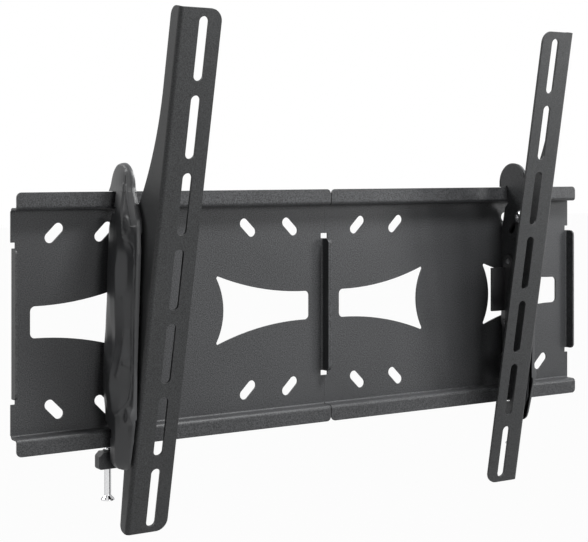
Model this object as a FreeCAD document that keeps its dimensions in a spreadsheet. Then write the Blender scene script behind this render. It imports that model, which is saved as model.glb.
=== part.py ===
import FreeCAD, Part
import Sketcher
import math
import os
import types

# Tilting wall bracket for a flat screen: two folded wall panels side by side, and two brackets that hook
# on their top rail, each with a moulded side cover, a lock screw and a slotted arm for the screen.
# Frame: origin on the wall plane at the middle of the two panels, +X to the right, +Y into the wall, +Z up.
# "reach" is a distance out from the wall, "depth" a distance back from the front face of an arm, and
# "place" a distance sideways. The arms' heights are those at zero tilt.

os.makedirs("parts", exist_ok=True)
doc = FreeCAD.newDocument("TiltingWallBracket")

driving_sizes = {
    # wall panels
    "panel_width": 325.5,
    "panel_sheet": 2.0,
    "web_half_height": 98.0,
    "rail_reach": 14.7,
    "rail_rise": 15.5,
    "panel_bend": 1.6,
    "rail_corner": 4.5,
    "rail_trim": 0.5,
    "end_flange_reach": 12.5,
    "end_flange_drop": 33.0,
    "end_flange_corner": 5.0,
    "relief_depth": 4.0,
    "relief_height": 5.0,
    # slanted slots for the wall screws
    "wall_slot_drop": 20.6,
    "wall_slot_outer_place": 40.0,
    "wall_slot_inner_place": 87.5,
    "wall_slot_length": 21.0,
    "wall_slot_width": 9.5,
    "wall_slot_lean": 45.0,
    # fan-shaped cut-outs, places counted from the panel's own end
    "fan_narrow_place": 17.7,
    "fan_narrow_half": 14.0,
    "fan_wide_place": 124.0,
    "fan_wide_half": 33.8,
    "fan_long_radius": 268.0,
    "fan_end_radius": 64.0,
    "fan_narrow_corner": 4.5,
    "fan_tip_corner": 1.6,
    # arms
    "arm_place": 226.0,
    "arm_sheet": 2.5,
    "arm_reach": 69.0,
    "arm_top": 271.5,
    "arm_length": 472.0,
    "arm_face_width": 40.5,
    "arm_bend": 1.5,
    "arm_free_corner": 11.0,
    "arm_slot_place": 23.5,
    "arm_slot_first": 34.5,
    "arm_slot_pitch": 67.4,
    "arm_slot_length": 55.0,
    "arm_slot_width": 9.0,
    "arm_slot_last": 30.0,
    "flange_top_depth": 16.6,
    "flange_bottom_depth": 13.0,
    "flange_lower_depth": 18.6,
    "flange_taper_start": 205.0,
    "flange_taper_end": 91.5,
    "flange_taper_end_reach": 28.8,
    "flange_taper_radius": 270.0,
    "flange_waist_reach": 24.7,
    "flange_waist_top": 43.0,
    "flange_waist_bottom": -50.0,
    "flange_bulge_radius": 215.0,
    "flange_lower_start": -116.0,
    "flange_lower_radius": 30.0,
    "flange_top_corner": 9.0,
    "flange_bottom_corner": 6.0,
    "upper_ear_radius": 10.5,
    "lower_ear_radius": 9.0,
    # tilt about an axis in front of the arms, on two screws in curved slots
    "tilt_axis_reach": 82.7,
    "tilt_axis_height": 13.1,
    "tilt_left": 12.6,
    "tilt_right": 10.5,
    "tilt_back_limit": -5.0,
    "tilt_forward_limit": 15.0,
    "tilt_slot_spare": 0.6,
    "upper_screw_reach": 26.0,
    "upper_screw_height": 73.0,
    "lower_screw_reach": 33.0,
    "lower_screw_height": -76.0,
    "screw_radius": 3.0,
    "screw_clearance": 0.15,
    "slot_clearance": 0.3,
    "screw_head_radius": 7.0,
    "screw_head_height": 3.6,
    "screw_head_rim": 0.9,
    "screw_head_dome": 5.0,
    "screw_head_flat": 3.6,
    "screw_tail": 0.8,
    "screw_point": 0.5,
    "recess_reach": 2.6,
    "recess_width": 1.2,
    "recess_depth": 2.0,
    "washer_radius": 6.0,
    "washer_sheet": 1.6,
    "nut_flat_half": 5.0,
    "nut_height": 3.2,
    "running_gap": 0.4,
    # hook plate and side plate
    "hook_sheet": 2.0,
    "side_sheet": 2.0,
    "hook_clearance": 0.5,
    "hook_seat_gap": 0.1,
    "tongue_rear_reach": 4.2,
    "tongue_front_reach": 41.2,
    "tongue_rise": 6.2,
    "finger_clearance": 2.0,
    "plate_front_upper_reach": 56.0,
    "plate_front_upper_height": 88.0,
    "plate_front_middle_reach": 56.5,
    "plate_front_middle_height": 60.0,
    "plate_front_lower_reach": 43.5,
    "plate_front_lower_height": -106.0,
    "plate_rear_reach": 4.0,
    "rail_clearance": 1.5,
    "hook_end_radius": 9.3,
    "hook_end_reach": 19.8,
    "hook_end_height": 68.0,
    "hook_rear_reach": 10.6,
    "foot_drop": 16.0,
    "foot_front_reach": 33.0,
    "hook_front_height": 77.0,
    "notch_slope": 5.0,
    "shoulder_reach": 8.5,
    "shoulder_height": 70.0,
    "plate_corner": 5.0,
    # side cover
    "cover_rim": 2.0,
    "cover_seat_gap": 0.3,
    "cover_tongue_rear": 1.5,
    "cover_tongue_front": 43.9,
    "cover_tongue_drop": 1.8,
    "cover_spine_reach": 36.0,
    "cover_top_thickness": 2.0,
    "cover_shoulder_thickness": 5.5,
    "cover_rail_thickness": 9.0,
    "cover_upper_thickness": 11.5,
    "cover_upper_height": 75.0,
    "cover_middle_thickness": 13.5,
    "cover_middle_height": 20.0,
    "cover_bulge_thickness": 15.5,
    "cover_bulge_height": -45.0,
    "cover_foot_thickness": 12.5,
    "cover_foot_height": -98.0,
    "cover_end_thickness": 7.0,
    "cover_thin_edge": 0.8,
    "cover_front_edge": 2.5,
    "cover_rear_edge": 2.5,
    "cover_bulge_edge": 6.0,
    "cover_corner": 5.0,
    "cover_foot_corner": 9.0,
    "cover_front_wall": 6.0,
    "cover_rear_wall": 8.0,
    "cover_hollow_depth": 4.5,
    "cover_nut_clearance": 0.4,
    "cover_rear_reach": 3.2,
    "cover_foot_lip": 2.0,
    "cover_lip_gap": 0.6,
    "cover_lip_bottom": -85.0,
    "cover_screw_radius": 1.75,
    "cover_screw_head_radius": 3.2,
    "cover_screw_head_height": 1.5,
    "cover_screw_length": 9.0,
    "cover_screw_reach": 40.0,
    "cover_boss_radius": 4.0,
    "cover_screw_upper_height": 20.0,
    "cover_screw_lower_height": -35.0,
    # rest pad, two lugs and a leaf that bears towards the wall panel
    "pad_upper_reach": 15.5,
    "pad_upper_height": 34.4,
    "pad_lower_reach": 10.6,
    "pad_lower_height": -29.7,
    "pad_upper_lug": 7.0,
    "pad_lower_lug": 6.4,
    "pad_screw_radius": 1.5,
    "pad_screw_head_radius": 2.8,
    "pad_screw_head_height": 1.2,
    "leaf_top": 28.0,
    "leaf_bottom": -18.0,
    "leaf_width": 18.0,
    "leaf_sheet": 2.0,
    "leaf_root_reach": 10.9,
    "leaf_tip_reach": 8.5,
    "leaf_radius": 30.0,
    # lock block and lock screw
    "lock_screw_out": 6.7,
    "block_out": 17.2,
    "block_half_width": 5.6,
    "block_corner": 1.5,
    "block_foot": 2.5,
    "block_reach": 8.6,
    "block_drop": 4.3,
    "block_height": 15.5,
    "block_edge": 4.0,
    "block_neck_radius": 4.4,
    "block_neck_height": 1.4,
    "lock_screw_radius": 2.9,
    "lock_screw_clearance": 0.05,
    "lock_screw_tip_drop": 1.1,
    "lock_screw_length": 46.9,
    "lock_head_radius": 5.9,
    "lock_head_height": 4.5,
    "lock_head_rim": 1.0,
}


class Size:
    # a length or angle that carries both its value and the sheet expression it comes from
    def __init__(self, value, text):
        self.value = float(value)
        self.text = text

    def __add__(self, other):
        other = as_size(other)
        return Size(self.value + other.value, "(%s + %s)" % (self.text, other.text))

    def __sub__(self, other):
        other = as_size(other)
        return Size(self.value - other.value, "(%s - %s)" % (self.text, other.text))

    def __mul__(self, other):
        other = as_size(other)
        return Size(self.value * other.value, "(%s * %s)" % (self.text, other.text))

    def __truediv__(self, other):
        other = as_size(other)
        return Size(self.value / other.value, "(%s / %s)" % (self.text, other.text))

    def __rsub__(self, other):
        return as_size(other) - self

    def __neg__(self):
        return Size(-self.value, "(-1 * %s)" % self.text)

    __radd__ = __add__
    __rmul__ = __mul__


def as_size(number):
    return number if isinstance(number, Size) else Size(number, "(%.9g)" % number)


def sine(angle):
    return Size(math.sin(math.radians(angle.value)), "sin(%s)" % angle.text)


def cosine(angle):
    return Size(math.cos(math.radians(angle.value)), "cos(%s)" % angle.text)


def whole(size):
    return Size(math.floor(size.value), "floor(%s)" % size.text)


def make_sheet():
    sheet = doc.addObject("Spreadsheet::Sheet", "Sizes")
    for row, (alias, number) in enumerate(driving_sizes.items(), start=1):
        sheet.set("A%d" % row, alias)
        sheet.set("B%d" % row, "%g" % number)
        sheet.setAlias("B%d" % row, alias)
    doc.recompute()
    sizes = {alias: Size(sheet.get(alias), "Sizes." + alias) for alias in driving_sizes}
    return types.SimpleNamespace(**sizes)


s = make_sheet()
pieces = {}


# Bodies, sketches and features

def bind(thing, prop, size):
    thing.setExpression(prop, as_size(size).text)


def new_body(label):
    body = doc.addObject("PartDesign::Body", label)
    body.Label = label
    pieces[label] = body
    return body


def new_sketch(body, role, name, offset=0):
    # role is XY_Plane, XZ_Plane (drawn in X and Z, facing -Y) or YZ_Plane (drawn in Y and Z, facing +X)
    sketch = body.newObject("Sketcher::SketchObject", name)
    plane = [feature for feature in body.Origin.OriginFeatures if feature.Role == role][0]
    sketch.AttachmentSupport = [(plane, "")]
    sketch.MapMode = "FlatFace"
    base = FreeCAD.Vector(0, 0, as_size(offset).value)
    sketch.AttachmentOffset = FreeCAD.Placement(base, FreeCAD.Rotation())
    bind(sketch, "AttachmentOffset.Base.z", offset)
    return sketch


def tie(sketch, kind, *refs):
    sketch.addConstraint(Sketcher.Constraint(kind, *refs))


def tie_size(sketch, kind, size, *refs):
    size = as_size(size)
    index = sketch.addConstraint(Sketcher.Constraint(kind, *refs, size.value))
    sketch.setExpression("Constraints[%d]" % index, size.text)


def place_point(sketch, point, *refs):
    tie_size(sketch, "DistanceX", point[0], -1, 1, *refs)
    tie_size(sketch, "DistanceY", point[1], -1, 1, *refs)


def arc_between(start, end, radius, turn):
    # turn is "left" or "right", the way the arc bends when it is walked from start to end
    chord = end - start
    height = math.sqrt(max(radius ** 2 - chord.Length ** 2 / 4, 0.0))
    normal = FreeCAD.Vector(-chord.y, chord.x, 0).normalize()
    centre = (start + end) * 0.5 + normal * (height if turn == "left" else -height)
    first, last = (start, end) if turn == "left" else (end, start)
    angles = [math.atan2(p.y - centre.y, p.x - centre.x) for p in (first, last)]
    if angles[1] < angles[0]:
        angles[1] += 2 * math.pi
    circle = Part.Circle(centre, FreeCAD.Vector(0, 0, 1), radius)
    return Part.ArcOfCircle(circle, angles[0], angles[1])


def draw_outline(sketch, corners):
    # corners are (u, v), or (u, v, radius, turn) where the edge that follows is an arc, with "half" as the
    # radius of a half circle
    spots = [FreeCAD.Vector(as_size(c[0]).value, as_size(c[1]).value, 0) for c in corners]
    points = []
    for corner, spot in zip(corners, spots):
        points.append(sketch.addGeometry(Part.Point(spot), True))
        place_point(sketch, corner, points[-1], 1)
    for i, corner in enumerate(corners):
        j = (i + 1) % len(corners)
        if len(corner) == 4:
            half_chord = (spots[j] - spots[i]).Length / 2
            radius = half_chord if corner[2] == "half" else corner[2].value
            edge = sketch.addGeometry(arc_between(spots[i], spots[j], radius, corner[3]), False)
        else:
            edge = sketch.addGeometry(Part.LineSegment(spots[i], spots[j]), False)
        backwards = len(corner) == 4 and corner[3] == "right"
        tie(sketch, "Coincident", edge, 2 if backwards else 1, points[i], 1)
        tie(sketch, "Coincident", edge, 1 if backwards else 2, points[j], 1)
        if len(corner) == 4 and corner[2] == "half":
            chord = spots[j] - spots[i]
            along = 1 if abs(chord.x) > abs(chord.y) else 0
            middle = (as_size(corner[along]) + corners[j][along]) / 2
            tie_size(sketch, ("DistanceX", "DistanceY")[along], middle, -1, 1, edge, 3)
        elif len(corner) == 4:
            tie_size(sketch, "Radius", corner[2], edge)


def draw_circle(sketch, centre, radius):
    spot = FreeCAD.Vector(as_size(centre[0]).value, as_size(centre[1]).value, 0)
    circle = sketch.addGeometry(Part.Circle(spot, FreeCAD.Vector(0, 0, 1), as_size(radius).value), False)
    place_point(sketch, centre, circle, 3)
    tie_size(sketch, "Radius", radius, circle)


def draw_slot(sketch, centre, length, width, lean):
    # a straight slot whose long side leans from the sketch's first axis by the angle lean
    half = (length - width) / 2
    along = (half * cosine(lean), half * sine(lean))
    across = (width / 2 * -sine(lean), width / 2 * cosine(lean))
    corners = []
    for end, side, rounded in ((-1, 1, True), (-1, -1, False), (1, -1, True), (1, 1, False)):
        u = centre[0] + along[0] * end + across[0] * side
        v = centre[1] + along[1] * end + across[1] * side
        corners.append((u, v, "half", "left") if rounded else (u, v))
    draw_outline(sketch, corners)


def pad(body, sketch, length, backwards=False):
    feature = body.newObject("PartDesign::Pad", sketch.Name + "_pad")
    feature.Profile = sketch
    bind(feature, "Length", length)
    feature.Reversed = backwards
    doc.recompute()
    return feature


def pocket(body, sketch, depth, backwards=False):
    before = body.Tip.Shape.Volume
    feature = body.newObject("PartDesign::Pocket", sketch.Name + "_pocket")
    feature.Profile = sketch
    bind(feature, "Length", depth)
    feature.Reversed = backwards
    doc.recompute()
    if not feature.Shape.Volume < before:
        raise RuntimeError("%s cuts nothing" % feature.Name)
    return feature


def mirror_twice(body, feature):
    # repeats a feature left to right and top to bottom
    both = body.newObject("PartDesign::MultiTransform", feature.Name + "_mirrored")
    both.Originals = [feature]
    mirrors = []
    for role in ("YZ_Plane", "XY_Plane"):
        mirror = body.newObject("PartDesign::Mirrored", feature.Name + "_" + role)
        mirror.MirrorPlane = ([p for p in body.Origin.OriginFeatures if p.Role == role][0], [""])
        mirrors.append(mirror)
    both.Transformations = mirrors
    body.Tip = both
    doc.recompute()
    return both


def edges_at(shape, axis, spots, limit=None):
    # straight edges along an axis whose other two coordinates are one of the spots, and whose middle is
    # within the limit along the axis
    names = []
    others = [n for n in range(3) if n != axis]
    for number, edge in enumerate(shape.Edges, start=1):
        if edge.Degenerated or not isinstance(edge.Curve, Part.Line):
            continue
        if abs(edge.Curve.Direction[axis]) < 0.999:
            continue
        middle = edge.CenterOfMass
        if limit is not None and abs(middle[axis]) > as_size(limit).value:
            continue
        for spot in spots:
            if all(abs(middle[n] - as_size(v).value) < 0.02 for n, v in zip(others, spot)):
                names.append("Edge%d" % number)
    return names


def round_edges(body, axis, spots, radius, name, limit=None):
    base = body.Tip
    names = edges_at(base.Shape, axis, spots, limit)
    if len(names) < len(spots):
        raise RuntimeError("%s finds %d of %d edges" % (name, len(names), len(spots)))
    feature = body.newObject("PartDesign::Fillet", name)
    feature.Base = (base, names)
    bind(feature, "Radius", radius)
    doc.recompute()
    return feature


def revolve(body, sketch, axis_name):
    feature = body.newObject("PartDesign::Revolution", sketch.Name + "_turn")
    feature.Profile = sketch
    feature.ReferenceAxis = (sketch, [axis_name])
    feature.Angle = 360
    doc.recompute()
    return feature


axis_x, axis_y, axis_z = 0, 1, 2
tilts = {"left": s.tilt_left, "right": s.tilt_right}
signs = {"left": -1, "right": 1}
tilt_axis = (-s.tilt_axis_reach, s.tilt_axis_height)


def turned(point, angle):
    # a point (Y, Z) after a turn about the tilt axis, tops coming forward
    y, z = point[0] - tilt_axis[0], point[1] - tilt_axis[1]
    return (tilt_axis[0] + y * cosine(angle) - z * sine(angle),
            tilt_axis[1] + y * sine(angle) + z * cosine(angle))


def ride_arm(body, side):
    # turns a body that is drawn at zero tilt to the arm's own tilt
    angle = tilts[side]
    base = turned((as_size(0), as_size(0)), angle)
    turn = FreeCAD.Rotation(FreeCAD.Vector(1, 0, 0), angle.value)
    body.Placement = FreeCAD.Placement(FreeCAD.Vector(0, base[0].value, base[1].value), turn)
    bind(body, "Placement.Base.y", base[0])
    bind(body, "Placement.Base.z", base[1])
    bind(body, "Placement.Rotation.Angle", angle)


# Places that several pieces share, counted out from the plate's centre for the right side

flange_inner = s.arm_place - s.arm_sheet
hook_inner = s.arm_place + s.running_gap
side_inner = hook_inner + s.hook_sheet
side_outer = side_inner + s.side_sheet
upper_screw = (-s.upper_screw_reach, s.upper_screw_height)
lower_screw = (-s.lower_screw_reach, s.lower_screw_height)
slot_width = (s.screw_radius + s.slot_clearance) * 2
rail_front = -s.rail_reach
rail_back = s.panel_sheet - s.rail_reach
shelf_outer = s.web_half_height + s.panel_sheet
rail_half_height = s.web_half_height + s.rail_rise
end_flange_half = s.web_half_height - s.end_flange_drop


# Wall panels

def make_panel(side):
    body = new_body("wall_panel_" + side)
    half = s.panel_width / 2
    profile = new_sketch(body, "YZ_Plane", "panel_profile_" + side, -half)
    web_front = -s.panel_sheet
    bend = s.web_half_height
    outline = [(as_size(0), shelf_outer), (rail_back, shelf_outer), (rail_back, rail_half_height),
               (rail_front, rail_half_height), (rail_front, bend), (web_front, bend)]
    draw_outline(profile, outline + [(y, -z) for y, z in reversed(outline)])
    pad(body, profile, s.panel_width)

    # end flanges, bent forward between the rails
    for end in (-1, 1):
        flange = new_sketch(body, "XZ_Plane", "end_flange_%s_%d" % (side, end + 1), 0)
        inner, outer = (half - s.panel_sheet) * end, half * end
        draw_outline(flange, [(inner, -end_flange_half), (outer, -end_flange_half),
                              (outer, end_flange_half), (inner, end_flange_half)][::end])
        pad(body, flange, s.end_flange_reach)

    # relief notches at both ends of each flange, and the ends of the rails trimmed back
    cuts = new_sketch(body, "XZ_Plane", "reliefs_" + side, s.end_flange_reach)
    for end in (-1, 1):
        for level in (-1, 1):
            near, far = end_flange_half * level, (end_flange_half + s.relief_height) * level
            inner, outer = (half - s.relief_depth) * end, (half + 1) * end
            draw_outline(cuts, [(inner, near), (outer, near), (outer, far), (inner, far)][::end * level])
    pocket(body, cuts, s.end_flange_reach + 1)
    trims = new_sketch(body, "XZ_Plane", "rail_trims_" + side, s.rail_reach + 1)
    for end in (-1, 1):
        for level in (-1, 1):
            near, far = (s.web_half_height - 1) * level, (rail_half_height + 1) * level
            inner, outer = (half - s.rail_trim) * end, (half + 1) * end
            draw_outline(trims, [(inner, near), (outer, near), (outer, far), (inner, far)][::end * level])
    pocket(body, trims, s.rail_reach + 2)

    # slanted slots and fan-shaped cut-outs
    holes = new_sketch(body, "XZ_Plane", "wall_slots_" + side, s.panel_sheet)
    for place in (s.wall_slot_outer_place, s.wall_slot_inner_place):
        centre = (half - place, s.web_half_height - s.wall_slot_drop)
        draw_slot(holes, centre, s.wall_slot_length, s.wall_slot_width, -s.wall_slot_lean)
    mirror_twice(body, pocket(body, holes, s.panel_sheet + 1))
    fans = new_sketch(body, "XZ_Plane", "fans_" + side, s.panel_sheet)
    fan_corners = {"narrow": [], "tip": []}
    for end in (-1, 1):
        narrow, wide = (half - s.fan_narrow_place) * end, (half - s.fan_wide_place) * end
        turn = "right" if end > 0 else "left"
        draw_outline(fans, [
            (narrow, -s.fan_narrow_half), (narrow, s.fan_narrow_half, s.fan_long_radius, turn),
            (wide, s.fan_wide_half, s.fan_end_radius, turn),
            (wide, -s.fan_wide_half, s.fan_long_radius, turn)])
        fan_corners["narrow"] += [(narrow, s.fan_narrow_half), (narrow, -s.fan_narrow_half)]
        fan_corners["tip"] += [(wide, s.fan_wide_half), (wide, -s.fan_wide_half)]
    pocket(body, fans, s.panel_sheet + 1)
    round_edges(body, axis_y, fan_corners["narrow"], s.fan_narrow_corner, "fan_narrow_round_" + side)
    round_edges(body, axis_y, fan_corners["tip"], s.fan_tip_corner, "fan_tip_round_" + side)

    # bends and rounded corners
    outside = s.panel_bend + s.panel_sheet
    levels = (-1, 1)
    round_edges(body, axis_x, [(web_front, s.web_half_height * n) for n in levels], s.panel_bend,
                "web_inner_bend_" + side)
    round_edges(body, axis_x, [(0, shelf_outer * n) for n in levels], outside, "web_outer_bend_" + side)
    round_edges(body, axis_x, [(rail_back, shelf_outer * n) for n in levels], s.panel_bend,
                "rail_inner_bend_" + side)
    round_edges(body, axis_x, [(rail_front, s.web_half_height * n) for n in levels], outside,
                "rail_outer_bend_" + side)
    rail_end = half - s.rail_trim
    round_edges(body, axis_y, [(rail_end * e, rail_half_height * n) for e in levels for n in levels],
                s.rail_corner, "rail_corners_" + side)
    round_edges(body, axis_x, [(-s.end_flange_reach, end_flange_half * n) for e in levels for n in levels],
                s.end_flange_corner, "flange_corners_" + side)
    round_edges(body, axis_z, [((half - s.panel_sheet) * e, web_front) for e in levels], s.panel_bend,
                "flange_inner_bend_" + side, 1)
    round_edges(body, axis_z, [(half * e, 0) for e in levels], outside, "flange_outer_bend_" + side, 1)
    body.Placement.Base.x = half.value * signs[side]
    bind(body, "Placement.Base.x", half * signs[side])


# The brackets are drawn for the right side, and the left ones have their places turned to minus

def flipped(outline, side):
    if side == "right":
        return outline
    swap = {"left": "right", "right": "left"}
    return [(-as_size(c[0]), c[1]) + ((c[2], swap[c[3]]) if len(c) == 4 else ()) for c in outline]


def side_sketch(body, side, name, place):
    return new_sketch(body, "YZ_Plane", name + "_" + side, place * signs[side])


def pad_out(body, side, sketch, thickness):
    return pad(body, sketch, thickness, side == "left")


def cut_in(body, side, sketch, depth):
    return pocket(body, sketch, depth, side == "left")


def cut_out(body, side, sketch, depth):
    return pocket(body, sketch, depth, side == "right")


def draw_cross(sketch, reach, width):
    half = width / 2
    corners = [(reach, -half), (reach, half), (half, half), (half, reach),
               (-half, reach), (-half, half), (-reach, half), (-reach, -half),
               (-half, -half), (-half, -reach), (half, -reach), (half, -half)]
    draw_outline(sketch, corners)


def seat(body, place, y, z):
    body.Placement.Base = FreeCAD.Vector(as_size(place).value, as_size(y).value, as_size(z).value)
    for axis, size in zip("xyz", (place, y, z)):
        bind(body, "Placement.Base." + axis, size)


def circle_spot(centre, radius, angle):
    return (centre[0] + radius * cosine(as_size(angle)), centre[1] + radius * sine(as_size(angle)))


def make_arm(side):
    body = new_body("tv_arm_" + side)
    sign = signs[side]

    def deep(depth):
        return as_size(depth) - s.arm_reach
    bottom = s.arm_top - s.arm_length
    upper_ear_low = circle_spot(upper_screw, s.upper_ear_radius, -50)
    upper_ear_top = circle_spot(upper_screw, s.upper_ear_radius, 70)
    lower_ear_low = circle_spot(lower_screw, s.lower_ear_radius, -74)
    lower_ear_top = circle_spot(lower_screw, s.lower_ear_radius, 27)
    flange = side_sketch(body, side, "arm_flange", flange_inner)
    draw_outline(flange, [
        (deep(0), bottom), (deep(s.flange_bottom_depth), bottom),
        (deep(s.flange_lower_depth), s.flange_lower_start, s.flange_lower_radius, "right"),
        lower_ear_low + (s.lower_ear_radius, "left"), lower_ear_top,
        (-s.flange_waist_reach, s.flange_waist_bottom, s.flange_bulge_radius, "left"),
        (-s.flange_waist_reach, s.flange_waist_top), upper_ear_low + (s.upper_ear_radius, "left"),
        upper_ear_top, (-s.flange_taper_end_reach, s.flange_taper_end, s.flange_taper_radius, "right"),
        (deep(s.flange_top_depth), s.flange_taper_start), (deep(s.flange_top_depth), s.arm_top),
        (deep(0), s.arm_top)])
    pad_out(body, side, flange, s.arm_sheet)
    free_edge = s.arm_place - s.arm_face_width
    face = new_sketch(body, "XZ_Plane", "arm_face_" + side, s.arm_reach - s.arm_sheet)
    draw_outline(face, flipped([(free_edge, bottom), (s.arm_place, bottom), (s.arm_place, s.arm_top),
                                (free_edge, s.arm_top)], side))
    pad(body, face, s.arm_sheet)

    # a row of upright slots for the screen's screws
    slot = new_sketch(body, "XZ_Plane", "arm_slot_" + side, s.arm_reach)
    slot_centre = ((s.arm_place - s.arm_slot_place) * sign, s.arm_top - s.arm_slot_first)
    draw_slot(slot, slot_centre, s.arm_slot_length, s.arm_slot_width, as_size(90))
    first = pocket(body, slot, s.arm_sheet + 1)
    row = body.newObject("PartDesign::LinearPattern", "arm_slots_" + side)
    row.Originals = [first]
    row.Direction = (slot, ["V_Axis"])
    row.Reversed = True
    steps = whole((s.arm_length - s.arm_slot_first - s.arm_slot_last) / s.arm_slot_pitch)
    bind(row, "Length", s.arm_slot_pitch * steps)
    bind(row, "Occurrences", steps + 1)
    body.Tip = row
    doc.recompute()

    holes = side_sketch(body, side, "arm_screw_holes", s.arm_place)
    for spot in (upper_screw, lower_screw):
        draw_circle(holes, spot, s.screw_radius + s.screw_clearance)
    cut_in(body, side, holes, s.arm_sheet + 1)
    round_edges(body, axis_z, [(flange_inner * sign, s.arm_sheet - s.arm_reach)], s.arm_bend,
                "arm_inner_bend_" + side)
    round_edges(body, axis_z, [(s.arm_place * sign, -s.arm_reach)], s.arm_bend + s.arm_sheet,
                "arm_outer_bend_" + side)
    round_edges(body, axis_y, [(free_edge * sign, s.arm_top), (free_edge * sign, bottom)],
                s.arm_free_corner, "arm_free_corners_" + side)
    round_edges(body, axis_x, [(deep(s.flange_top_depth), s.arm_top)], s.flange_top_corner,
                "arm_flange_top_" + side)
    round_edges(body, axis_x, [(deep(s.flange_bottom_depth), bottom)], s.flange_bottom_corner,
                "arm_flange_bottom_" + side)
    ride_arm(body, side)


# Tilt screws with their washers and nuts: they ride on the arm, and their bodies are drawn about their axis

def make_ring(side, name, spot, place, thickness, radius):
    body = new_body(name + "_" + side)
    sketch = side_sketch(body, side, name, place)
    centre = (as_size(0), as_size(0))
    draw_circle(sketch, centre, radius)
    draw_circle(sketch, centre, s.screw_radius + s.screw_clearance)
    pad_out(body, side, sketch, thickness)
    seat(body, 0, *turned(spot, tilts[side]))


def make_nut(side, name, spot):
    body = new_body(name + "_" + side)
    sketch = side_sketch(body, side, name, side_outer + s.washer_sheet)
    centre = (as_size(0), as_size(0))
    corner = s.nut_flat_half / cosine(as_size(30))
    draw_outline(sketch, [circle_spot(centre, corner, 60 * n) for n in range(6)])
    draw_circle(sketch, centre, s.screw_radius)
    pad_out(body, side, sketch, s.nut_height)
    seat(body, 0, *turned(spot, tilts[side]))


def make_tilt_screw(side, name, spot):
    body = new_body(name + "_" + side)
    head_end = flange_inner - s.screw_head_height
    tail_end = side_outer + s.washer_sheet + s.nut_height + s.screw_tail
    rim = flange_inner - s.screw_head_rim
    sketch = new_sketch(body, "XY_Plane", name + "_" + side)
    draw_outline(sketch, flipped([
        (head_end, 0), (tail_end, 0), (tail_end, s.screw_radius - s.screw_point),
        (tail_end - s.screw_point, s.screw_radius), (flange_inner, s.screw_radius),
        (flange_inner, s.screw_head_radius), (rim, s.screw_head_radius, s.screw_head_dome, "left"),
        (head_end, s.screw_head_flat)], side))
    revolve(body, sketch, "H_Axis")
    recess = side_sketch(body, side, name + "_recess", head_end)
    draw_cross(recess, s.recess_reach, s.recess_width)
    cut_out(body, side, recess, s.recess_depth)
    seat(body, 0, *turned(spot, tilts[side]))


# Hook plate and side plate, two sheets whose tongues hang on the top rail

tongue_radius = (s.tongue_front_reach - s.tongue_rear_reach) / 2
finger_front = s.hook_clearance + rail_back
rail_side = rail_front - s.hook_clearance
tongue_seat = rail_half_height + s.hook_seat_gap
tongue_shoulder = rail_half_height + s.tongue_rise
under_shelf = s.web_half_height - s.rail_clearance
foot_bottom = -(rail_half_height + s.foot_drop)


def tongue_corners():
    # up the rear of the tongue and over its round top
    finger_end = shelf_outer + s.finger_clearance
    return [(finger_front, finger_end), (-s.tongue_rear_reach, finger_end),
            (-s.tongue_rear_reach, tongue_shoulder, "half", "left"),
            (-s.tongue_front_reach, tongue_shoulder),
            (-s.plate_front_upper_reach, s.plate_front_upper_height)]


def rail_notch_corners(relieved=False):
    # round the rail, from below the shelf to the finger behind the rail, with a round relief over its edge
    over = (rail_side, tongue_seat) + (("half", "right") if relieved else ())
    return [(rail_side, under_shelf), over, (finger_front, tongue_seat)]


def draw_tilt_slot(body, side, name, spot, place, thickness, width=slot_width):
    # a slot that follows the screw, with room past both limits, cut inwards from the place given
    sketch = side_sketch(body, side, name, place)
    y, z = spot[0] - tilt_axis[0], spot[1] - tilt_axis[1]
    squares = y * y + z * z
    radius = Size(math.sqrt(squares.value), "sqrt(%s)" % squares.text)
    edges = []
    for angle in (s.tilt_back_limit - s.tilt_slot_spare, s.tilt_forward_limit + s.tilt_slot_spare):
        for out in (1, -1):
            scale = radius / radius + width / 2 * out / radius
            far = (tilt_axis[0] + y * scale, tilt_axis[1] + z * scale)
            edges.append(turned(far, angle))
    low_out, low_in, high_out, high_in = edges
    draw_outline(sketch, [low_out + (radius + width / 2, "left"), high_out + ("half", "left"),
                          high_in + (radius - width / 2, "right"), low_in + ("half", "left")])
    return cut_in(body, side, sketch, thickness)


def make_hook_plate(side):
    body = new_body("hook_plate_" + side)
    sketch = side_sketch(body, side, "hook_outline", hook_inner)
    end_centre = (-s.hook_end_reach, s.hook_end_height)
    end_front = circle_spot(end_centre, s.hook_end_radius, -124)
    end_rear = circle_spot(end_centre, s.hook_end_radius, 9)
    draw_outline(sketch, tongue_corners() + [
        (-s.plate_front_upper_reach, s.hook_front_height), end_front + (s.hook_end_radius, "left"),
        end_rear, (-s.hook_rear_reach, under_shelf - s.notch_slope)] + rail_notch_corners(True))
    pad_out(body, side, sketch, s.hook_sheet)
    draw_tilt_slot(body, side, "hook_slot", upper_screw, side_inner, s.hook_sheet + 1)
    round_edges(body, axis_x, [(-s.plate_front_upper_reach, s.plate_front_upper_height),
                               (-s.plate_front_upper_reach, s.hook_front_height)], s.plate_corner,
                "hook_corners_" + side)


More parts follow.
